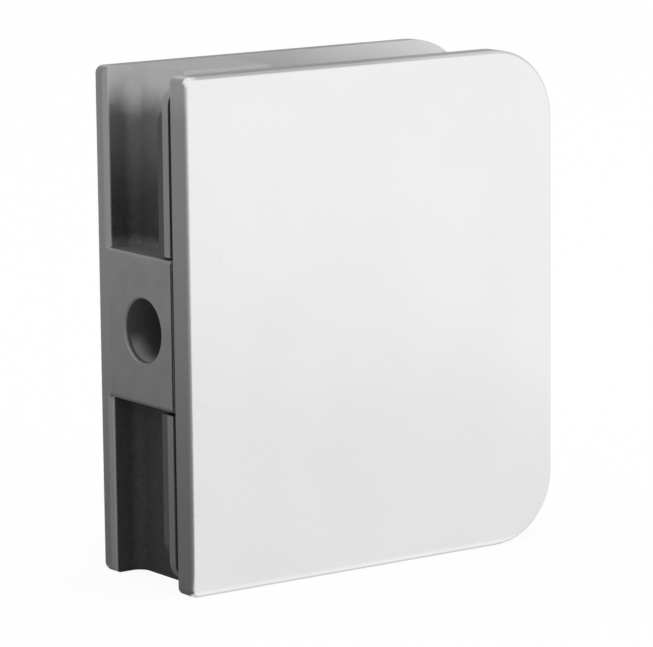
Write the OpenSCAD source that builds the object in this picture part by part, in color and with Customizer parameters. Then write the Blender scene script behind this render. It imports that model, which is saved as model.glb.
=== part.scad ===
// Wall clamp for the edge of a glass panel.
// A cast body holds a back plate, a web that stops the glass and a fixing block that meets the wall.
// A loose cover closes on the glass from the front, drawn in by two screws from the back.
// Both plates carry a soft gasket. The wall is on the -X side, the cover faces -Y and +Z is up.
// The origin is the middle of the footprint, at the lower edge of the plates. Lengths are in mm.

/* [Plates] */
// Height of both plates
plate_h = 50; // [46:0.5:70]
// Width of both plates, from the wall to the free edge
plate_w = 44; // [38:0.5:60]
// Radius of the two corners on the free edge
corner_r = 7; // [4:0.5:12]
// Radius of the two corners on the wall side
wall_corner_r = 0.8; // [0.6:0.1:2]
// Thickness of the cover
cover_t = 2.4; // [2:0.1:4]
// Thickness of the back plate
back_t = 2; // [1.8:0.1:4]
// Round on the outer edges of both plates
edge_r = 0.5; // [0.2:0.05:0.6]
// Chamfer on the inner edge of the back plate, beside the wall pockets
inner_chamfer = 0.5; // [0.2:0.05:0.8]

/* [Glass] */
// Thickness of the glass panel
glass_t = 8; // [6:0.5:12]
// Thickness of each gasket
gasket_t = 0.9; // [0.8:0.1:2]
// Distance from the gaskets to the free edge, the top and the bottom of the plates
gasket_inset = 3; // [2:0.5:4]
// Thickness of the raised pad inside the cover, which carries its gasket
pad_t = 1.6; // [1.2:0.1:2.4]
// Distance from the pad to the free edge, the top and the bottom of the cover
pad_inset = 1; // [0.5:0.1:2]
// Distance from the pad and its gasket to the wall edge of the cover
pad_wall_inset = 0.1; // [0.1:0.1:0.5]
// Radius of the two corners of the pad and its gasket on the wall side
pad_corner_r = 2; // [1:0.5:3]
// Height of the relief groove round the foot of the pad
relief_h = 0.6; // [0.3:0.1:0.8]
// Depth of the relief groove
relief_depth = 0.5; // [0.3:0.1:0.8]

/* [Body casting] */
// Depth of the pockets above and below the fixing block
pocket_depth = 3.3; // [2:0.1:5]
// Width of the web that stops the glass
web_w = 10; // [9.5:0.5:14]
// Fillet where the web meets the back plate
web_fillet = 1.2; // [0.4:0.1:1.5]
// Height of the fixing block
block_h = 14.7; // [12:0.1:16]
// Round on the long edges of the block's end face
block_edge_r = 0.4; // [0.2:0.1:0.8]

/* [Fixing hole] */
// Diameter of the hole for the wall screw
fix_d = 6.2; // [5:0.1:7]
// Chamfer at the mouth of the hole
fix_chamfer = 0.2; // [0.1:0.05:0.6]
// Diameter of the counterbore for the head of the wall screw
fix_head_d = 8.6; // [8:0.1:9.6]
// Depth of the counterbore
fix_head_depth = 5.2; // [3:0.1:6]
// Shift of the hole from the middle of the block towards the cover
fix_shift = 0.2; // [0:0.05:0.3]

/* [Clamp screws] */
// Distance between the two clamp screws
screw_spread = 28; // [26:0.5:32]
// Thread diameter of the clamp screws
screw_d = 5; // [4:0.5:5]
// Diameter of the countersunk head
head_d = 9.8; // [9:0.1:10.4]
// Height of the straight rim of the head
head_rim = 0.3; // [0.2:0.1:0.5]
// Width of the hexagon socket across its flats
socket_af = 3; // [2.5:0.5:3]
// Depth of the hexagon socket
socket_depth = 1.9; // [1.5:0.1:2.2]
// Chamfer at the tip of the screw
tip_chamfer = 0.5; // [0.3:0.1:0.8]
// Diameter of the tapped lugs inside the cover
lug_d = 7.4; // [7:0.1:7.6]
// Length of the tapped lugs, from the inner face of the cover
lug_l = 6.4; // [6:0.1:7]
// Length of screw that each lug holds
thread_reach = 5; // [4:0.5:5]
// Depth of the tapped hole past the root of its lug
tap_past_root = 0.5; // [0.2:0.1:1]

/* [Clearances] */
// Between a screw and its tapped hole, all round
thread_gap = 0.05; // [0.02:0.01:0.1]
// Between a screw and its hole in the body, all round
shank_gap = 0.3; // [0.2:0.05:0.5]
// Between the head of a screw and its countersink, all round
head_gap = 0.2; // [0.1:0.05:0.3]
// From the top of the head to the face of the back plate
head_sink = 0.2; // [0.1:0.05:0.4]
// Between a lug and its recess in the web, all round and at the end
lug_gap = 0.3; // [0.2:0.05:0.4]
// Between a lug and the gasket around it
lug_gasket_gap = 0.2; // [0.1:0.05:0.4]
// Between the fixing block and the inner face of the cover
block_gap = 0.5; // [0.3:0.05:0.6]
// Between the fixing block and the pad and gasket around it
notch_gap = 0.3; // [0.2:0.05:0.5]
// Between the web and the gasket beside it
stop_gap = 0.3; // [0.2:0.05:0.5]

/* [Hidden] */
$fn = 72;
steel = [0.80, 0.81, 0.82];
rubber = [0.10, 0.10, 0.11];

// How far a cut runs past the face that it opens
past = 1;
plate_gap = pad_t + gasket_t + glass_t + gasket_t;
total_d = cover_t + plate_gap + back_t;

// Places along Y, from the face of the cover to the face of the back plate
y_face = -total_d / 2;
y_seam = y_face + cover_t;
y_block = y_seam + block_gap;
y_pad = y_seam + pad_t;
y_glass = y_pad + gasket_t;
y_liner = y_glass + glass_t;
y_back = y_liner + gasket_t;
y_rear = y_back + back_t;
y_fix = (y_seam + y_back) / 2 - fix_shift;
y_lug_end = y_seam + lug_l;
y_head = y_rear - head_sink;
y_tip = y_lug_end - thread_reach;

// Places along X, from the wall to the free edge
x_wall = -plate_w / 2;
x_web = x_wall + pocket_depth;
x_stop = x_web + web_w;
x_free = plate_w / 2;
x_screw = (x_web + x_stop) / 2;

// Places along Z
z_mid = plate_h / 2;
z_upper_screw = z_mid + screw_spread / 2;
z_lower_screw = z_mid - screw_spread / 2;

// Stands up what is drawn flat: flat Y becomes Z, and flat Z becomes -Y, from y_from on
module upright(y_from) {
    translate([0, y_from, 0])
        rotate([90, 0, 0])
            children();
}

// Gives a flat outline its thickness, from y_from to y_to
module slab(y_from, y_to) {
    upright(y_to)
        linear_extrude(y_to - y_from)
            children();
}

// What a radius takes off the square corner at (x, z), which opens towards (to_x, to_z)
module corner_cut(x, z, to_x, to_z, r) {
    difference() {
        translate([x + to_x * (r - past) / 2, z + to_z * (r - past) / 2])
            square(r + past, center = true);
        translate([x + to_x * r, z + to_z * r])
            circle(r);
    }
}

// Outline of a plate: square at the wall, round at the free edge
module plate_outline() {
    difference() {
        translate([x_wall, 0])
            square([plate_w, plate_h]);
        corner_cut(x_free, 0, -1, 1, corner_r);
        corner_cut(x_free, plate_h, -1, -1, corner_r);
        corner_cut(x_wall, 0, 1, 1, wall_corner_r);
        corner_cut(x_wall, plate_h, 1, -1, wall_corner_r);
    }
}

// Outline of what lies on a plate, from x_from on, inset from its other three edges
module inset_outline(x_from, inset) {
    inner_r = corner_r - inset;
    difference() {
        translate([x_from, inset])
            square([x_free - inset - x_from, plate_h - 2 * inset]);
        corner_cut(x_free - inset, inset, -1, 1, inner_r);
        corner_cut(x_free - inset, plate_h - inset, -1, -1, inner_r);
    }
}

// Outline of the pad or its gasket: round at the wall too, with a notch for the fixing block.
// A step takes it in all round, the notch too.
module pad_outline(inset, step = 0) {
    x_from = x_wall + pad_wall_inset + step;
    z_from = inset + step;
    notch = notch_gap + step;
    difference() {
        inset_outline(x_from, z_from);
        corner_cut(x_from, z_from, 1, 1, pad_corner_r - step);
        corner_cut(x_from, plate_h - z_from, 1, -1, pad_corner_r - step);
        translate([x_wall - past, z_mid - block_h / 2 - notch])
            square([x_stop - x_wall + notch + past, block_h + 2 * notch]);
    }
}

// Outline of the fixing block, with the long edges of its end face rounded
module block_outline() {
    difference() {
        translate([x_wall, z_mid - block_h / 2])
            square([x_stop - x_wall, block_h]);
        corner_cut(x_wall, z_mid - block_h / 2, 1, 1, block_edge_r);
        corner_cut(x_wall, z_mid + block_h / 2, 1, -1, block_edge_r);
    }
}

// Section of what a rounded edge loses: the edge is at the origin, metal towards -X and -Y
module edge_section() {
    difference() {
        translate([-edge_r, -edge_r])
            square(edge_r + past);
        translate([-edge_r, -edge_r])
            circle(edge_r);
    }
}

// A straight stretch of rounded edge, which runs from the origin towards -Y
module edge_run(length) {
    rotate([90, 0, 0])
        linear_extrude(length)
            edge_section();
}

// The rounded edge of a quarter turn about (x, z), which starts at the angle turn
module edge_turn(x, z, turn, r) {
    translate([x, z, 0])
        rotate([0, 0, turn])
            rotate_extrude(angle = 90)
                translate([r, 0])
                    edge_section();
}

// Rounds all edges of a flat plate's upper face, which lies at Z = 0
module edge_cuts() {
    x_arc_wall = x_wall + wall_corner_r;
    x_arc_free = x_free - corner_r;
    translate([x_free, plate_h - corner_r, 0])
        edge_run(plate_h - 2 * corner_r);
    translate([x_wall, wall_corner_r, 0])
        rotate([0, 0, 180])
            edge_run(plate_h - 2 * wall_corner_r);
    translate([x_arc_wall, plate_h, 0])
        rotate([0, 0, 90])
            edge_run(x_arc_free - x_arc_wall);
    translate([x_arc_free, 0, 0])
        rotate([0, 0, -90])
            edge_run(x_arc_free - x_arc_wall);
    edge_turn(x_arc_free, plate_h - corner_r, 0, corner_r);
    edge_turn(x_arc_wall, plate_h - wall_corner_r, 90, wall_corner_r);
    edge_turn(x_arc_wall, wall_corner_r, 180, wall_corner_r);
    edge_turn(x_arc_free, corner_r, 270, corner_r);
}

// A flat plate with the edges of its upper face rounded
module plate(thickness) {
    difference() {
        linear_extrude(thickness)
            plate_outline();
        translate([0, 0, thickness])
            edge_cuts();
    }
}

// A round bar or hole on a clamp screw's axis, from y_from to y_to
module on_screw_axis(z, y_from, y_to, d) {
    translate([x_screw, y_to, z])
        rotate([90, 0, 0])
            cylinder(h = y_to - y_from, d = d);
}

// What the body loses for one clamp screw and for the lug that it pulls in
module screw_cuts(z) {
    hole_r = screw_d / 2 + shank_gap;
    sink_r = head_d / 2 + head_gap;
    y_rim = y_head - head_rim;
    on_screw_axis(z, y_seam, y_rear + past, 2 * hole_r);
    on_screw_axis(z, y_seam, y_lug_end + lug_gap, lug_d + 2 * lug_gap);
    on_screw_axis(z, y_rim, y_rear + past, 2 * sink_r);
    translate([x_screw, y_rim, z])
        rotate([90, 0, 0])
            cylinder(h = sink_r - hole_r, r1 = sink_r, r2 = hole_r);
}

// The hole for the wall screw, with its chamfered mouth and its counterbore on the glass side
module fixing_cut() {
    translate([x_wall, y_fix, z_mid])
        rotate([0, 90, 0]) {
            translate([0, 0, -past])
                cylinder(h = x_stop - x_wall + 2 * past, d = fix_d);
            translate([0, 0, -past])
                cylinder(h = past + fix_chamfer, r1 = fix_d / 2 + fix_chamfer + past, r2 = fix_d / 2);
            translate([0, 0, x_stop - x_wall - fix_head_depth])
                cylinder(h = fix_head_depth + past, d = fix_head_d);
        }
}

// Chamfer along the inner edge of the back plate, clear of the fixing block
module pocket_chamfer(z_from, z_to) {
    translate([0, 0, z_from])
        linear_extrude(z_to - z_from)
            polygon([
                [x_wall - past, y_back - past],
                [x_wall + inner_chamfer + past, y_back - past],
                [x_wall - past, y_back + inner_chamfer + past]
            ]);
}

// Fills the inner corner between the web and the back plate on the wall side
module web_corner() {
    linear_extrude(plate_h)
        difference() {
            translate([x_web - web_fillet, y_back - web_fillet])
                square(web_fillet);
            translate([x_web - web_fillet, y_back - web_fillet])
                circle(web_fillet);
        }
}

// Body casting: back plate, web and fixing block in one piece
module body() {
    color(steel)
        difference() {
            union() {
                upright(y_back)
                    mirror([0, 0, 1])
                        plate(back_t);
                slab(y_glass, y_back)
                    translate([x_web, 0])
                        square([web_w, plate_h]);
                slab(y_block, y_back)
                    block_outline();
                web_corner();
            }
            fixing_cut();
            screw_cuts(z_upper_screw);
            screw_cuts(z_lower_screw);
            pocket_chamfer(-past, z_mid - block_h / 2);
            pocket_chamfer(z_mid + block_h / 2, plate_h + past);
        }
}

// Cover: plate, raised pad and two tapped lugs in one piece
module cover() {
    color(steel)
        difference() {
            union() {
                upright(y_seam)
                    plate(cover_t);
                slab(y_seam, y_seam + relief_h)
                    pad_outline(pad_inset, relief_depth);
                slab(y_seam + relief_h, y_pad)
                    pad_outline(pad_inset);
                on_screw_axis(z_upper_screw, y_seam, y_lug_end, lug_d);
                on_screw_axis(z_lower_screw, y_seam, y_lug_end, lug_d);
            }
            for (z = [z_upper_screw, z_lower_screw])
                on_screw_axis(z, y_seam - tap_past_root, y_lug_end + past, screw_d + 2 * thread_gap);
        }
}

// Gasket on the pad of the cover, with holes for the lugs
module cover_gasket() {
    color(rubber)
        difference() {
            slab(y_pad, y_glass)
                pad_outline(gasket_inset);
            for (z = [z_upper_screw, z_lower_screw])
                on_screw_axis(z, y_pad - past, y_glass + past, lug_d + 2 * lug_gasket_gap);
        }
}

// Gasket on the back plate, from the web to the free edge
module body_gasket() {
    color(rubber)
        slab(y_liner, y_back)
            inset_outline(x_stop + stop_gap, gasket_inset);
}

// Countersunk screw with a hexagon socket, its head towards +Y
module clamp_screw(z) {
    head_r = head_d / 2;
    shank_r = screw_d / 2;
    length = y_head - y_tip;
    cone_end = head_rim + head_r - shank_r;
    color(steel)
        translate([x_screw, y_head, z])
            rotate([90, 0, 0])
                difference() {
                    rotate_extrude()
                        polygon([
                            [0, 0],
                            [head_r, 0],
                            [head_r, head_rim],
                            [shank_r, cone_end],
                            [shank_r, length - tip_chamfer],
                            [shank_r - tip_chamfer, length],
                            [0, length]
                        ]);
                    translate([0, 0, -past])
                        cylinder(h = socket_depth + past, d = socket_af / cos(30), $fn = 6);
                }
}

module upper_screw() {
    clamp_screw(z_upper_screw);
}

module lower_screw() {
    clamp_screw(z_lower_screw);
}

body();
cover();
cover_gasket();
body_gasket();
upper_screw();
lower_screw();
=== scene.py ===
"""Looks of the wall clamp for a glass panel edge: metals, rubber, threads, studio and camera."""

import math

import bpy
from mathutils import Matrix, Vector


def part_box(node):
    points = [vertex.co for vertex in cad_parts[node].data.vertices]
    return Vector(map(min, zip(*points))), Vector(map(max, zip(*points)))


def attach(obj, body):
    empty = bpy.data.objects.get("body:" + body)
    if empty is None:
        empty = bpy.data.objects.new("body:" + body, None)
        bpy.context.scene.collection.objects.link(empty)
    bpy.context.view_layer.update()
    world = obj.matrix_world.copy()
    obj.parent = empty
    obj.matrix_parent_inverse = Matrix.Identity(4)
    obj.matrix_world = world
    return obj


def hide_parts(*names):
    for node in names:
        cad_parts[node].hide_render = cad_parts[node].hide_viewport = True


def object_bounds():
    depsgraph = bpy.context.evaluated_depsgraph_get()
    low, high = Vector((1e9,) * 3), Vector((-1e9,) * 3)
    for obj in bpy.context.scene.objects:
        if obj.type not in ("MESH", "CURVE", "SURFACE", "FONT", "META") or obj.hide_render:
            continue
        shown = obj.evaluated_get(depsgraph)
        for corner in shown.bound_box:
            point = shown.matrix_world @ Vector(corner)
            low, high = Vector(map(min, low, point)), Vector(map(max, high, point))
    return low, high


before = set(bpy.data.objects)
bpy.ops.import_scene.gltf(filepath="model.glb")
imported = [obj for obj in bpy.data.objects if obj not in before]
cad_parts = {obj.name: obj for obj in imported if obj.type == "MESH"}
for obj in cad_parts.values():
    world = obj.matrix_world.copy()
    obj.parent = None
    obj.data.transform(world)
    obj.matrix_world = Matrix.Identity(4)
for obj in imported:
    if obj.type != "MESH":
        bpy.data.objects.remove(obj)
cad_low, cad_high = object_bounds()
MM = 0.001

# Faces and edges of the clamp. X runs along the plates from the wall to the free edge and is 0
# at their middle, Y runs across them from the cover to the back plate, and Z is up.
body_low, body_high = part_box("body")
cover_low, cover_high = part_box("cover")
WALL_FACE = body_low.x
BODY_TOP = body_high.z
PLATE_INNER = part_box("body_gasket")[1].y
WEB_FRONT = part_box("cover_gasket")[1].y
POCKET_FLOOR = WALL_FACE + 3.3 * MM
WEB_SIDE = WALL_FACE + 13.3 * MM
COVER_SEAM = cover_low.y + 2.4 * MM
GROOVE_WIDTH = 0.6 * MM
EDGE_ROUND = 0.5 * MM
HOLE_HEIGHT = (body_low.z + body_high.z) / 2
HOLE_RADIUS = 3.1 * MM
HOLE_MOUTH = 3.3 * MM
BLOCK_TOP = HOLE_HEIGHT + 7.35 * MM

# Finishes of the cover, as linear colours, and the painted light and shade on its edges
SATIN_COVER = (0.885, 0.885, 0.89)
GROUND_EDGE = (0.61, 0.61, 0.615)
# Painted light on the upper part of the cover's left side
PAINTED_LIT_EDGE = (0.82, 0.82, 0.825)
# Dull grey for random spots on the web, and painted shade on the top edges of the cover and the
# back plate
DULL_SPOT_AND_EDGE_SHADE = (0.46, 0.46, 0.465)

# Finishes of the body, and the painted light and shade laid over it
SATIN_BODY = (0.64, 0.64, 0.65)
BARE_GREY = (0.50, 0.50, 0.505)
BLASTED_GREY = (0.80, 0.80, 0.805)
# Painted shade on the slot face near the web
SLOT_PAINTED_SHADE = (0.63, 0.63, 0.635)
# Painted half-shade on the hole's chamfer and over the fixing block
HALF_SHADE_GREY = (0.17, 0.17, 0.172)
# Painted shade, nearly black and mottled, for the wall pockets and the cover's groove
PAINTED_SHADE_DARK = (0.036, 0.036, 0.037)
PAINTED_SHADE_MOTTLE = (0.052, 0.052, 0.053)
# Painted shade in the fixing hole's bore
BORE_SHADE = (0.078, 0.078, 0.079)
# Painted light low inside the fixing hole's mouth
BORE_LIT = (0.30, 0.30, 0.302)

# Finishes of the gaskets and screws
RUBBER_BLACK = (0.045, 0.045, 0.048)
RUBBER_DUSTY = (0.06, 0.06, 0.063)
SCREW_METAL = (0.60, 0.60, 0.61)

# Grain: the range that a noise mostly keeps to, the share of its tone that satin metal keeps in
# its duller patches, how far its roughness strays, and the step of the screws' turned rings
NOISE_RANGE = (0.3, 0.7)
DULLED = 0.975
ROUGH_SPREAD = 0.03
RING_STEP = 0.22 * MM

# Camera, in degrees, metres and millimetres of lens
CAMERA_AZIMUTH = -35.455
CAMERA_ELEVATION = 9.936
CAMERA_ROLL = -0.617
CAMERA_DISTANCE = 0.40105
CAMERA_TARGET = Vector((-0.000382, -0.000085, 0.023338))
CAMERA_LENS = 223.06

# Studio: the floor's share of white, how far the floor and the low cards lie below the clamp's
# foot, how far the front card stands above it, and between which distances a card's tone changes
WHITE = (1, 1, 1, 1)
PALE_FLOOR = (0.9, 0.9, 0.9, 1)
FLOOR_WHITE = 0.93
FLOOR_DROP = 0.02 * MM
CARD_DROP = 0.01 * MM
CARD_RISE = 0.4 * MM
CARD_NEAR = 0.03
CARD_FAR = 0.28
UP = (0, 0, 1)
TO_FRONT = (0, -1, 0)
TO_RIGHT = (1, 0, 0)


# Camera
def add_camera():
    """Stands the camera where its three angles and its distance from the target put it."""
    azimuth, elevation, roll = map(
        math.radians, (CAMERA_AZIMUTH, CAMERA_ELEVATION, CAMERA_ROLL)
    )
    back = Vector((
        math.sin(azimuth) * math.cos(elevation),
        -math.cos(azimuth) * math.cos(elevation),
        math.sin(elevation),
    ))
    right = Vector(UP).cross(back).normalized()
    up = back.cross(right)
    turned_right = right * math.cos(roll) + up * math.sin(roll)
    turned_up = up * math.cos(roll) - right * math.sin(roll)
    place = Matrix((turned_right, turned_up, back)).transposed().to_4x4()
    place.translation = CAMERA_TARGET + back * CAMERA_DISTANCE
    data = bpy.data.cameras.new("camera")
    data.lens = CAMERA_LENS
    data.sensor_width = 36
    data.clip_start = 0.01
    data.clip_end = 20
    camera = bpy.data.objects.new("camera", data)
    bpy.context.scene.collection.objects.link(camera)
    camera.matrix_world = place
    bpy.context.scene.camera = camera


# Node trees
class Nodes:
    """A shorthand for building the node tree of one material or world."""

    def __init__(self, tree):
        self.tree = tree
        tree.nodes.clear()

    def add(self, kind, **settings):
        node = self.tree.nodes.new(kind)
        for key, value in settings.items():
            setattr(node, key, value)
        return node

    def link(self, source, target):
        self.tree.links.new(source, target)

    def put(self, socket, value):
        """Sets a socket to a number or colour, or links it to another socket."""
        if hasattr(value, "node"):
            self.link(value, socket)
        else:
            socket.default_value = value

    def math(self, operation, a, b=0.0):
        node = self.add("ShaderNodeMath", operation=operation)
        self.put(node.inputs[0], a)
        self.put(node.inputs[1], b)
        return node.outputs[0]

    def product(self, *factors):
        total = factors[0]
        for factor in factors[1:]:
            total = self.math("MULTIPLY", total, factor)
        return total

    def distance(self, a, b):
        """How far a point lies from an axis, from its two offsets."""
        squares = self.math("ADD", self.math("POWER", a, 2.0), self.math("POWER", b, 2.0))
        return self.math("POWER", squares, 0.5)

    def ramp(self, value, low, high, out_low=0.0, out_high=1.0):
        """Maps low..high onto out_low..out_high with soft ends. Low may be above high."""
        node = self.add("ShaderNodeMapRange", interpolation_type="SMOOTHSTEP")
        self.put(node.inputs["Value"], value)
        node.inputs["From Min"].default_value = low
        node.inputs["From Max"].default_value = high
        node.inputs["To Min"].default_value = out_low
        node.inputs["To Max"].default_value = out_high
        return node.outputs["Result"]

    def band(self, value, start, full, fading, end):
        """1 from full to fading, and 0 before start and after end."""
        return self.product(self.ramp(value, start, full), self.ramp(value, end, fading))

    def mix_colour(self, factor, a, b):
        node = self.add("ShaderNodeMix", data_type="RGBA")
        self.put(node.inputs[0], factor)
        self.put(node.inputs[6], a if hasattr(a, "node") else (*a, 1))
        self.put(node.inputs[7], b if hasattr(b, "node") else (*b, 1))
        return node.outputs[2]

    def noise(self, coordinates, scale, detail=2.0, roughness=0.5):
        node = self.add("ShaderNodeTexNoise")
        self.link(coordinates, node.inputs["Vector"])
        node.inputs["Scale"].default_value = scale
        node.inputs["Detail"].default_value = detail
        node.inputs["Roughness"].default_value = roughness
        return node.outputs["Fac"]

    def bump(self, height, strength, distance, normal=None):
        node = self.add("ShaderNodeBump")
        self.link(height, node.inputs["Height"])
        node.inputs["Strength"].default_value = strength
        node.inputs["Distance"].default_value = distance
        if normal is not None:
            self.link(normal, node.inputs["Normal"])
        return node.outputs["Normal"]

    def split(self, coordinates):
        """The distance along the plates, the distance across them and the height of a point."""
        axes = self.add("ShaderNodeSeparateXYZ")
        self.link(coordinates, axes.inputs[0])
        return axes.outputs


# Materials
def new_material(name):
    material = bpy.data.materials.new(name)
    material.use_nodes = True
    nodes = Nodes(material.node_tree)
    shader = nodes.add("ShaderNodeBsdfPrincipled")
    output = nodes.add("ShaderNodeOutputMaterial")
    nodes.link(shader.outputs[0], output.inputs["Surface"])
    place = nodes.add("ShaderNodeTexCoord").outputs["Object"]
    return material, nodes, shader, place


def satin_metal(name, colour, rough, grain, relief=0.005 * MM):
    """Satin metal with a fine even grain. Returns what a mask needs to change its finish."""
    material, nodes, shader, place = new_material(name)
    cloud = nodes.noise(place, scale=90, detail=3)
    fine = nodes.noise(place, scale=grain, detail=2, roughness=0.6)
    tone = nodes.ramp(cloud, *NOISE_RANGE)
    dull = tuple(channel * DULLED for channel in colour)
    nodes.link(nodes.mix_colour(tone, dull, colour), shader.inputs["Base Color"])
    shader.inputs["Metallic"].default_value = 1.0
    gloss = nodes.ramp(fine, *NOISE_RANGE, rough - ROUGH_SPREAD, rough + ROUGH_SPREAD)
    nodes.link(gloss, shader.inputs["Roughness"])
    nodes.link(nodes.bump(fine, strength=0.08, distance=relief), shader.inputs["Normal"])
    return material, nodes, shader, place


def overlay(nodes, shader, mask, colour, metallic, rough):
    """Where the mask is 1, the shader gets this colour, metallic share and roughness."""
    for socket, value in (("Metallic", metallic), ("Roughness", rough)):
        target = shader.inputs[socket]
        under = target.links[0].from_socket if target.links else target.default_value
        kept = nodes.math("MULTIPLY", nodes.math("SUBTRACT", 1.0, mask), under)
        nodes.link(nodes.math("ADD", kept, nodes.math("MULTIPLY", mask, value)), target)
    target = shader.inputs["Base Color"]
    nodes.link(nodes.mix_colour(mask, target.links[0].from_socket, colour), target)


def painted_shade_colour(nodes, place):
    """Painted shade, nearly black and finely mottled."""
    mottle = nodes.noise(place, scale=2600, detail=4, roughness=0.7)
    return nodes.mix_colour(nodes.ramp(mottle, *NOISE_RANGE), PAINTED_SHADE_DARK, PAINTED_SHADE_MOTTLE)


def spot_web(nodes, shader, place):
    """Faint dull spots on all of the body that stands in front of the back plate."""
    _, across, _ = nodes.split(place)
    patches = nodes.noise(place, scale=420, detail=4, roughness=0.6)
    spots = nodes.product(
        nodes.ramp(patches, 0.36, 0.70, out_high=0.3),
        nodes.ramp(across, PLATE_INNER, PLATE_INNER - 0.2 * MM),
    )
    overlay(nodes, shader, spots, DULL_SPOT_AND_EDGE_SHADE, metallic=1.0, rough=0.42)


def paint_pocket_shade(nodes, shader, place, outside_hole):
    """The wall pockets: bare grey with painted shade over it, which darkens them downwards from
    the top.
    """
    along, across, height = nodes.split(place)
    pocket = nodes.product(
        outside_hole,
        nodes.band(along, WALL_FACE + 0.1 * MM, WALL_FACE + 0.3 * MM,
                   POCKET_FLOOR + 0.7 * MM, POCKET_FLOOR + 1.2 * MM),
        nodes.ramp(across, PLATE_INNER + 0.2 * MM, PLATE_INNER),
    )
    below_top = nodes.ramp(height, BODY_TOP - 0.002 * MM, BODY_TOP - 0.01 * MM)
    overlay(nodes, shader, nodes.product(pocket, below_top), BARE_GREY, metallic=0.3, rough=0.6)

    # The painted shade starts lower in the fillet than beside it, on a ragged line, leaving a V of
    # painted light from above
    fillet = POCKET_FLOOR - PLATE_INNER
    in_fillet = nodes.band(nodes.math("SUBTRACT", along, across), fillet - 1.9 * MM,
                           fillet - 0.7 * MM, fillet + 1.0 * MM, fillet + 1.8 * MM)
    waves = nodes.noise(place, scale=900, detail=3, roughness=0.6)
    ragged = nodes.math("MULTIPLY", waves, 1.2 * MM)
    depth = nodes.math("SUBTRACT", BODY_TOP, height)
    depth = nodes.math("SUBTRACT", depth, nodes.math("MULTIPLY", in_fillet, 0.8 * MM))
    depth = nodes.math("ADD", depth, ragged)
    # Painted shade, deepening from the top of the pocket downwards
    shade_share = nodes.math("ADD", nodes.ramp(depth, 1.8 * MM, 5.8 * MM, out_high=0.82),
                            nodes.ramp(depth, 5.0 * MM, 14.5 * MM, out_high=0.18))

    # A greyer strip of painted half-shade lies over the fixing block, where its top faces the
    # light from above
    ripples = nodes.noise(place, scale=1500, detail=3, roughness=0.6)
    rough_edge = nodes.math("MULTIPLY", ripples, 1.2 * MM)
    over_block = nodes.product(
        nodes.ramp(nodes.math("ADD", height, rough_edge),
                   BLOCK_TOP + 2.0 * MM, BLOCK_TOP + 0.5 * MM),
        nodes.ramp(height, BLOCK_TOP - 1.0 * MM, BLOCK_TOP - 0.9 * MM),
    )
    pocket_shade = nodes.mix_colour(over_block, painted_shade_colour(nodes, place), HALF_SHADE_GREY)
    overlay(nodes, shader, nodes.product(pocket, shade_share), pocket_shade, metallic=0.25, rough=0.7)


def darken_hole(nodes, shader, place, hole_distance, inside_hole):
    """The fixing hole: painted shade on its chamfer, darker painted shade in its bore, and a patch
    of painted light low inside its mouth.
    """
    along, across, height = nodes.split(place)
    # Painted shade over the whole hole, chamfer and bore
    hole = nodes.product(
        inside_hole, nodes.ramp(along, WALL_FACE + 0.01 * MM, WALL_FACE + 0.04 * MM)
    )
    overlay(nodes, shader, hole, HALF_SHADE_GREY, metallic=0.25, rough=0.8)
    # Darker painted shade in the bore
    bore = nodes.product(
        hole, nodes.ramp(hole_distance, HOLE_RADIUS + 0.06 * MM, HOLE_RADIUS + 0.03 * MM)
    )
    overlay(nodes, shader, bore, BORE_SHADE, metallic=0.25, rough=0.7)
    # Painted light on the lower wall just inside the mouth, where light from above falls
    lit_patch = nodes.product(
        hole,
        nodes.ramp(height, HOLE_HEIGHT - 0.4 * MM, HOLE_HEIGHT - 2.2 * MM),
        nodes.band(along, WALL_FACE + 0.3 * MM, WALL_FACE + 0.6 * MM,
                   WALL_FACE + 0.8 * MM, WALL_FACE + 2.8 * MM),
        nodes.ramp(across, -1.4 * MM, 0.4 * MM),
    )
    overlay(nodes, shader, lit_patch, BORE_LIT, metallic=0.2, rough=0.8)


def blast_slot(nodes, shader, place):
    """The back plate's blasted face behind the glass, with painted shade near the web, so that it
    turns lighter towards the free edge.
    """
    along, across, _ = nodes.split(place)
    slot_face = nodes.product(
        nodes.band(across, PLATE_INNER - 0.2 * MM, PLATE_INNER - 0.1 * MM,
                   PLATE_INNER, PLATE_INNER + 0.1 * MM),
        nodes.ramp(along, WEB_SIDE - 0.3 * MM, WEB_SIDE - 0.1 * MM),
    )
    # Painted shade: darker near the web, lighter towards the free edge
    to_free_edge = nodes.ramp(along, -4.0 * MM, 8.5 * MM)
    slot_grey_and_shade = nodes.mix_colour(to_free_edge, SLOT_PAINTED_SHADE, BLASTED_GREY)
    overlay(nodes, shader, slot_face, slot_grey_and_shade, metallic=0.3, rough=0.6)


def finish_top(nodes, shader, place):
    """The top of the web's front, and painted shade on the upper edge of the back plate."""
    along, across, height = nodes.split(place)
    front_top = nodes.product(
        nodes.ramp(across, WEB_FRONT + 0.04 * MM, WEB_FRONT + 0.01 * MM),
        nodes.ramp(height, BODY_TOP - 4.0 * MM, BODY_TOP - 1.5 * MM),
    )
    overlay(nodes, shader, front_top, SATIN_BODY, metallic=0.1, rough=0.6)
    # Painted shade along the rounded upper edge of the back plate
    shaded_top_edge = nodes.product(
        nodes.ramp(height, BODY_TOP - EDGE_ROUND - 0.1 * MM, BODY_TOP - EDGE_ROUND),
        nodes.ramp(across, PLATE_INNER + 0.02 * MM, PLATE_INNER + 0.08 * MM),
        nodes.band(along, WALL_FACE + 0.7 * MM, WALL_FACE + 2.0 * MM, 3.0 * MM, 13.0 * MM),
    )
    overlay(nodes, shader, shaded_top_edge, DULL_SPOT_AND_EDGE_SHADE, metallic=1.0, rough=0.36)


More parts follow.
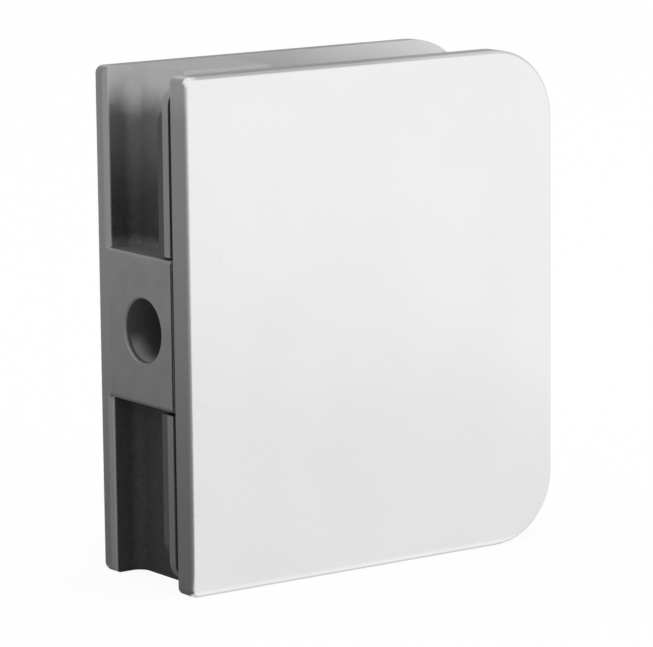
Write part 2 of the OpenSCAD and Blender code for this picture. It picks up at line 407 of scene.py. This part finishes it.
def cast_body(name):
    """Body: satin outside, painted shade in the wall pockets and in the hole."""
    material, nodes, shader, place = satin_metal(name, SATIN_BODY, rough=0.36, grain=5000)
    _, across, height = nodes.split(place)
    hole_distance = nodes.distance(across, nodes.math("SUBTRACT", height, HOLE_HEIGHT))
    outside_hole = nodes.ramp(hole_distance, HOLE_MOUTH + 0.05 * MM, HOLE_MOUTH + 0.1 * MM)
    inside_hole = nodes.math("SUBTRACT", 1.0, outside_hole)
    spot_web(nodes, shader, place)
    paint_pocket_shade(nodes, shader, place, outside_hole)
    darken_hole(nodes, shader, place, hole_distance, inside_hole)
    blast_slot(nodes, shader, place)
    finish_top(nodes, shader, place)
    return material


def satin_cover(name):
    """Cover: satin face, ground edges and back, painted light on the upper part of its left side,
    and painted shade on its top edge and in the groove round the foot of its pad.
    """
    material, nodes, shader, place = satin_metal(name, SATIN_COVER, rough=0.30, grain=7000)
    along, across, height = nodes.split(place)
    # Painted light: the cover's left side turns lighter towards the top
    lit_side_top = nodes.product(
        nodes.ramp(height, cover_high.z - 4.8 * MM, cover_high.z - 0.8 * MM),
        nodes.ramp(along, cover_low.x + 2.0 * MM, cover_low.x + 0.7 * MM),
    )
    # Painted shade along the rounded top edge of the cover
    shaded_top_side = nodes.product(
        nodes.ramp(height, cover_high.z - EDGE_ROUND - 0.1 * MM, cover_high.z - EDGE_ROUND),
        nodes.band(along, cover_low.x + 0.7 * MM, cover_low.x + 2.0 * MM, -4.0 * MM, 12.0 * MM),
    )
    edge_grey = nodes.mix_colour(lit_side_top, GROUND_EDGE, PAINTED_LIT_EDGE)
    edge_grey = nodes.mix_colour(shaded_top_side, edge_grey, DULL_SPOT_AND_EDGE_SHADE)
    edge = nodes.ramp(across, cover_low.y + 0.01 * MM, cover_low.y + 0.12 * MM)
    overlay(nodes, shader, edge, edge_grey, metallic=1.0, rough=0.34)
    # Painted shade in the groove round the foot of the pad, mottled like the pockets
    groove_end = COVER_SEAM + GROOVE_WIDTH
    groove = nodes.product(
        nodes.ramp(along, cover_low.x + 0.14 * MM, cover_low.x + 0.18 * MM),
        nodes.band(across, COVER_SEAM + 0.01 * MM, COVER_SEAM + 0.03 * MM,
                   groove_end, groove_end + 0.04 * MM),
    )
    overlay(nodes, shader, groove, painted_shade_colour(nodes, place), metallic=0.25, rough=0.7)
    return material


def black_rubber(name):
    """Gaskets: matt rubber with a fine grain."""
    material, nodes, shader, place = new_material(name)
    fine = nodes.noise(place, scale=9000, detail=3, roughness=0.6)
    tone = nodes.ramp(fine, *NOISE_RANGE)
    nodes.link(nodes.mix_colour(tone, RUBBER_BLACK, RUBBER_DUSTY), shader.inputs["Base Color"])
    gloss = nodes.ramp(fine, *NOISE_RANGE, out_low=0.65, out_high=0.8)
    nodes.link(gloss, shader.inputs["Roughness"])
    nodes.link(nodes.bump(fine, strength=0.3, distance=0.03 * MM), shader.inputs["Normal"])
    return material


def turned_screw(name):
    """Screw metal with the fine rings that turning leaves round the axes of both screws."""
    material, nodes, shader, place = satin_metal(
        name, SCREW_METAL, rough=0.24, grain=9000, relief=0.002 * MM
    )
    along, _, height = nodes.split(place)
    screw_low, screw_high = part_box("upper_screw")
    axis_along = (screw_low.x + screw_high.x) / 2
    axis_up = (screw_low.z + screw_high.z) / 2 - HOLE_HEIGHT
    from_middle = nodes.math("ABSOLUTE", nodes.math("SUBTRACT", height, HOLE_HEIGHT))
    up = nodes.math("SUBTRACT", from_middle, axis_up)
    aside = nodes.math("SUBTRACT", along, axis_along)
    phase = nodes.math("MULTIPLY", nodes.distance(up, aside), 2 * math.pi / RING_STEP)
    rings = nodes.math("SINE", phase)
    grain = shader.inputs["Normal"].links[0].from_socket
    relief = nodes.bump(rings, strength=0.5, distance=0.0035 * MM, normal=grain)
    nodes.link(relief, shader.inputs["Normal"])
    return material


def dress(node, material):
    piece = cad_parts[node]
    for slot in piece.material_slots:
        slot.material = material


def start_piece(name):
    """The primitive that was just added becomes the piece of this name."""
    piece = bpy.context.object
    piece.name = name
    return piece


# Screws. They are shaped in millimetres, upright, with the face of the head at height 0 and the
# tip down, and then scaled and placed.
THREAD_PITCH = 0.8
THREAD_CREST = 2.48
THREAD_ROOT = 2.02
THREAD_FLANK = 0.27
THREAD_LAND = 0.1
THREAD_STEPS = 48
SPARE_TURNS = 2
WELD_DISTANCE = 0.001
CORE_RADIUS = 1.95
CORE_FOOT = -3.6
CORE_TOP = -2.95
THREAD_TOP = -3.1
CONE_DEPTH = 2.7
HEAD_RADIUS = 4.88
RIM_DEPTH = 0.3
TIP_RADIUS = 2.0
TIP_CHAMFER = 0.52
CLEAR_RADIUS = 6.0
SOCKET_ACROSS = 3.0
SOCKET_DEPTH = 1.9
SOCKET_POINT = 0.25
POINT_SHARE = 0.3
MOUTH_FOOT = -0.30
MOUTH_START = -0.24
SLIVER = 0.001
SMOOTH_DEGREES = 20
TURNED_SIDES = 96


def keep_only(piece):
    bpy.ops.object.select_all(action="DESELECT")
    bpy.context.view_layer.objects.active = piece
    piece.select_set(True)


def select_faces(piece, chosen):
    """In edit mode, selects the faces for which chosen(face) is true."""
    bpy.ops.mesh.select_mode(type="FACE")
    bpy.ops.mesh.select_all(action="DESELECT")
    bpy.ops.object.mode_set(mode="OBJECT")
    for face in piece.data.polygons:
        face.select = chosen(face)
    bpy.ops.object.mode_set(mode="EDIT")


def draw_out(radius, height, new_radius, new_height):
    """In edit mode, extrudes the selected face from one radius and height to the next."""
    bpy.ops.mesh.extrude_region_move(
        TRANSFORM_OT_translate={"value": (0, 0, new_height - height)}
    )
    bpy.ops.transform.resize(value=(new_radius / radius, new_radius / radius, 1))


def cut(piece, tool, operation):
    """Joins the tool to the piece, takes it off or keeps what both share, and deletes the tool."""
    keep_only(piece)
    modifier = piece.modifiers.new(operation.lower(), "BOOLEAN")
    modifier.operation = operation
    modifier.solver = "EXACT"
    modifier.object = tool
    bpy.ops.object.modifier_apply(modifier=modifier.name)
    bpy.data.objects.remove(tool)


def thread_profile(bottom):
    """One pitch of the thread's outline, drawn up from its root, below the bar's bottom."""
    bpy.ops.object.select_all(action="DESELECT")
    bpy.ops.mesh.primitive_plane_add(size=1)
    bar = start_piece("thread_bar")
    bpy.ops.object.mode_set(mode="EDIT")
    bpy.ops.mesh.select_mode(type="VERT")
    bpy.ops.mesh.select_all(action="SELECT")
    bpy.ops.mesh.merge(type="CENTER")
    start = bottom - SPARE_TURNS * THREAD_PITCH
    bpy.ops.transform.translate(value=(THREAD_ROOT, 0, start))
    depth = THREAD_CREST - THREAD_ROOT
    root = THREAD_PITCH - 2 * THREAD_FLANK - THREAD_LAND
    steps = ((0, root), (depth, THREAD_FLANK), (0, THREAD_LAND), (-depth, THREAD_FLANK))
    for out, up in steps:
        bpy.ops.mesh.extrude_vertices_move(TRANSFORM_OT_translate={"value": (out, 0, up)})
    bpy.ops.object.mode_set(mode="OBJECT")
    return bar


def thread_bar(top, bottom):
    """A threaded bar between two heights, its helix closed by a flat cut at both ends."""
    bar = thread_profile(bottom)
    helix = bar.modifiers.new("helix", "SCREW")
    helix.axis = "Z"
    helix.screw_offset = THREAD_PITCH
    helix.iterations = int((top - bottom) / THREAD_PITCH) + 2 * SPARE_TURNS
    helix.steps = helix.render_steps = THREAD_STEPS
    helix.use_merge_vertices = True
    helix.merge_threshold = WELD_DISTANCE
    bpy.ops.object.modifier_apply(modifier="helix")
    bpy.ops.object.mode_set(mode="EDIT")
    bpy.ops.mesh.select_all(action="SELECT")
    bpy.ops.mesh.remove_doubles(threshold=WELD_DISTANCE)
    bpy.ops.mesh.bisect(
        plane_co=(0, 0, bottom), plane_no=UP, clear_inner=True, use_fill=True
    )
    bpy.ops.mesh.select_all(action="SELECT")
    bpy.ops.mesh.bisect(
        plane_co=(0, 0, top), plane_no=UP, clear_outer=True, use_fill=True
    )
    bpy.ops.mesh.select_all(action="SELECT")
    bpy.ops.mesh.normals_make_consistent(inside=False)
    bpy.ops.object.mode_set(mode="OBJECT")
    return bar


def turned_blank(name, base_radius, base, first, stations):
    """A turned shape: a short cylinder whose top face is drawn up through (radius, height)."""
    bpy.ops.object.select_all(action="DESELECT")
    bpy.ops.mesh.primitive_cylinder_add(
        vertices=TURNED_SIDES,
        radius=base_radius,
        depth=first - base,
        location=(0, 0, (first + base) / 2),
    )
    blank = start_piece(name)
    bpy.ops.object.transform_apply(location=True, rotation=True, scale=True)
    bpy.ops.object.mode_set(mode="EDIT")
    select_faces(blank, lambda face: face.normal.z > 0.5)
    radius, height = base_radius, first
    for new_radius, new_height in stations:
        draw_out(radius, height, new_radius, new_height)
        radius, height = new_radius, new_height
    bpy.ops.object.mode_set(mode="OBJECT")
    return blank


def socket_shape(corner):
    """A hexagon bar that ends in a blunt point at the depth of the socket."""
    length = 2.0
    bpy.ops.object.select_all(action="DESELECT")
    bpy.ops.mesh.primitive_cylinder_add(
        vertices=6, radius=corner, depth=length, rotation=(0, 0, math.pi / 6)
    )
    socket = start_piece("socket_shape")
    foot = SOCKET_POINT - SOCKET_DEPTH
    socket.location.z = foot + length / 2
    bpy.ops.object.transform_apply(location=True, rotation=True, scale=True)
    bpy.ops.object.mode_set(mode="EDIT")
    select_faces(socket, lambda face: face.normal.z < -0.5)
    draw_out(1, foot, POINT_SHARE, -SOCKET_DEPTH)
    bpy.ops.object.mode_set(mode="OBJECT")
    return socket


def clamp_screw(length):
    """A countersunk screw with a chamfered tip and a hexagon socket with a chamfered mouth."""
    # From the shank up the cone to the rim, and round its soft edge onto the face
    screw = turned_blank("clamp_screw", CORE_RADIUS, CORE_FOOT, CORE_TOP, (
        (THREAD_CREST, -CONE_DEPTH),
        (HEAD_RADIUS - 0.05, -RIM_DEPTH - 0.05),
        (HEAD_RADIUS, -RIM_DEPTH + 0.02),
        (HEAD_RADIUS, -0.12),
        (HEAD_RADIUS - 0.04, -0.04),
        (HEAD_RADIUS - 0.13, 0.0),
    ))
    cut(screw, thread_bar(THREAD_TOP, -length), "UNION")
    tip = turned_blank("tip_shape", TIP_RADIUS, -length - SLIVER, -length, (
        (TIP_RADIUS + TIP_CHAMFER, TIP_CHAMFER - length),
        (CLEAR_RADIUS, TIP_CHAMFER - length + 0.01),
        (CLEAR_RADIUS, 1.0),
    ))
    cut(screw, tip, "INTERSECT")
    corner = SOCKET_ACROSS / 2 / math.cos(math.radians(30))
    cut(screw, socket_shape(corner), "DIFFERENCE")
    # A cone that opens the socket's mouth, wider than its corners at the face
    mouth = turned_blank("mouth_shape", corner - 0.16, MOUTH_FOOT, MOUTH_START, (
        (corner + 0.11, 0.03),
        (corner + 0.2, 0.5),
    ))
    cut(screw, mouth, "DIFFERENCE")
    return screw


def place_screw(screw, node, material):
    """Scales a screw from millimetres, lays it along the node's axis and lets it turn with it."""
    low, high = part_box(node)
    keep_only(screw)
    screw.name = node + "_threaded"
    screw.scale = (MM, MM, MM)
    screw.rotation_euler = (-math.pi / 2, 0, 0)
    screw.location = ((low.x + high.x) / 2, high.y, (low.z + high.z) / 2)
    bpy.ops.object.transform_apply(location=True, rotation=True, scale=True)
    bpy.ops.object.shade_smooth_by_angle(angle=math.radians(SMOOTH_DEGREES))
    screw.data.materials.clear()
    screw.data.materials.append(material)
    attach(screw, node)
    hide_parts(node)


def add_screws(material):
    """One screw is shaped at the node's own length, and copied for the other node."""
    screw_low, screw_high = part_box("upper_screw")
    upper_screw = clamp_screw((screw_high.y - screw_low.y) / MM)
    keep_only(upper_screw)
    bpy.ops.object.duplicate(linked=False)
    lower_screw = bpy.context.object
    place_screw(upper_screw, "upper_screw", material)
    place_screw(lower_screw, "lower_screw", material)


# Studio
def add_key_lamp(place, target, width, watts):
    """A square soft lamp that faces its target and shows in no reflection."""
    data = bpy.data.lights.new("key", "AREA")
    data.shape = "RECTANGLE"
    data.size = width
    data.size_y = width
    data.energy = watts
    lamp = bpy.data.objects.new("key", data)
    bpy.context.scene.collection.objects.link(lamp)
    lamp.location = place
    lamp.rotation_mode = "QUATERNION"
    lamp.rotation_quaternion = (Vector(place) - Vector(target)).to_track_quat("Z", "Y")
    lamp.visible_glossy = False


def add_world():
    """Plain white light from all round."""
    world = bpy.data.worlds.new("studio")
    bpy.context.scene.world = world
    world.use_nodes = True
    nodes = Nodes(world.node_tree)
    white = nodes.add("ShaderNodeBackground")
    white.inputs["Color"].default_value = WHITE
    white.inputs["Strength"].default_value = 1.0
    output = nodes.add("ShaderNodeOutputWorld")
    nodes.link(white.outputs[0], output.inputs["Surface"])


def stage_material(name):
    """A material with an output and no shader yet."""
    material = bpy.data.materials.new(name)
    material.use_nodes = True
    nodes = Nodes(material.node_tree)
    output = nodes.add("ShaderNodeOutputMaterial")
    return material, nodes, output.inputs["Surface"]


def white_glow(nodes, strength):
    """White light from the surface itself, of a strength that may be a number or a socket."""
    glow = nodes.add("ShaderNodeEmission")
    glow.inputs["Color"].default_value = WHITE
    nodes.put(glow.inputs["Strength"], strength)
    return glow.outputs[0]


def add_floor():
    """A pale matt floor that is almost white to the camera and in reflections."""
    bpy.ops.object.select_all(action="DESELECT")
    bpy.ops.mesh.primitive_plane_add(size=8, location=(0, 0, cad_low.z - FLOOR_DROP))
    floor = start_piece("floor")
    material, nodes, surface = stage_material("pale_floor")
    rays = nodes.add("ShaderNodeLightPath").outputs
    mirrored = nodes.math("MAXIMUM", rays["Is Glossy Ray"], rays["Is Transmission Ray"])
    seen = nodes.math("MAXIMUM", rays["Is Camera Ray"], mirrored)
    matt = nodes.add("ShaderNodeBsdfDiffuse")
    matt.inputs["Color"].default_value = PALE_FLOOR
    mix = nodes.add("ShaderNodeMixShader")
    nodes.link(nodes.math("MULTIPLY", seen, FLOOR_WHITE), mix.inputs[0])
    nodes.link(matt.outputs[0], mix.inputs[1])
    nodes.link(white_glow(nodes, strength=1.0), mix.inputs[2])
    nodes.link(mix.outputs[0], surface)
    floor.data.materials.append(material)


def add_card(name, place, facing, width, height, tone, far_tone=None):
    """A grey card beside the clamp, which only its metal sees. It may grow lighter far off."""
    bpy.ops.object.select_all(action="DESELECT")
    bpy.ops.mesh.primitive_plane_add(size=1, location=place)
    card = start_piece(name)
    card.scale = (width, height, 1)
    card.rotation_mode = "QUATERNION"
    card.rotation_quaternion = Vector(facing).to_track_quat("Z", "Y")
    card.visible_camera = False
    card.visible_shadow = False
    card.visible_diffuse = False
    material, nodes, surface = stage_material(name)
    strength = tone
    if far_tone is not None:
        distance = nodes.add("ShaderNodeVectorMath", operation="LENGTH")
        nodes.link(nodes.add("ShaderNodeNewGeometry").outputs["Position"], distance.inputs[0])
        strength = nodes.ramp(distance.outputs["Value"], CARD_NEAR, CARD_FAR, tone, far_tone)
    nodes.link(white_glow(nodes, strength), surface)
    card.data.materials.append(material)


def add_floor_card(name, left, right, front, back, level, tone, far_tone=None):
    """A card that lies flat between four edges, at a level above or below the clamp's foot."""
    middle = ((left + right) / 2, (front + back) / 2, cad_low.z + level)
    add_card(name, middle, UP, right - left, back - front, tone, far_tone)


def add_cards():
    """Cards on the floor round the clamp's foot, and upright ones beside and behind it."""
    add_floor_card(
        "left_floor_card", left=-0.724, right=cad_low.x - 0.1 * MM, front=-0.5, back=0.7,
        level=-CARD_DROP, tone=0.15, far_tone=0.33,
    )
    # Painted shade: a slightly grey card in front stands in for shaded floor near the clamp in
    # reflections
    add_floor_card(
        "front_shade_card", left=cad_low.x - 1.5 * MM, right=0.0665,
        front=-0.4195, back=cad_low.y - 0.6 * MM, level=CARD_RISE, tone=0.86,
    )
    # Painted shade: a dark card under the foot stands in for the shade beneath the clamp in
    # reflections
    add_floor_card(
        "foot_shade_card", left=cad_low.x - 1.5 * MM, right=cad_high.x + 1.5 * MM,
        front=cad_low.y + 0.9 * MM, back=cad_high.y - 0.1 * MM, level=-CARD_DROP, tone=0.12,
    )
    add_card(
        "left_wall_card", place=(-0.7, 0.1, 0.2), facing=TO_RIGHT,
        width=1.2, height=0.4, tone=0.28,
    )
    add_card(
        "rear_left_card", place=(-0.45, 0.4, 0.3), facing=TO_FRONT,
        width=1.0, height=0.64, tone=0.28,
    )
    add_card(
        "rear_right_card", place=(0.45, 0.4, 0.15), facing=TO_FRONT,
        width=0.8, height=0.34, tone=0.4,
    )


# The scene
add_camera()

cover_metal = satin_cover("satin_cover")
body_metal = cast_body("satin_body")
screw_metal = turned_screw("turned_screw")
rubber = black_rubber("gasket_rubber")
dress("cover", cover_metal)
dress("body", body_metal)
dress("cover_gasket", rubber)
dress("body_gasket", rubber)
add_screws(screw_metal)

add_world()
add_floor()
add_key_lamp(place=(0.35, -0.5, 0.45), target=(0, 0, 0.02), width=0.4, watts=1.0)
add_cards()

bpy.context.scene.view_settings.view_transform = "Standard"
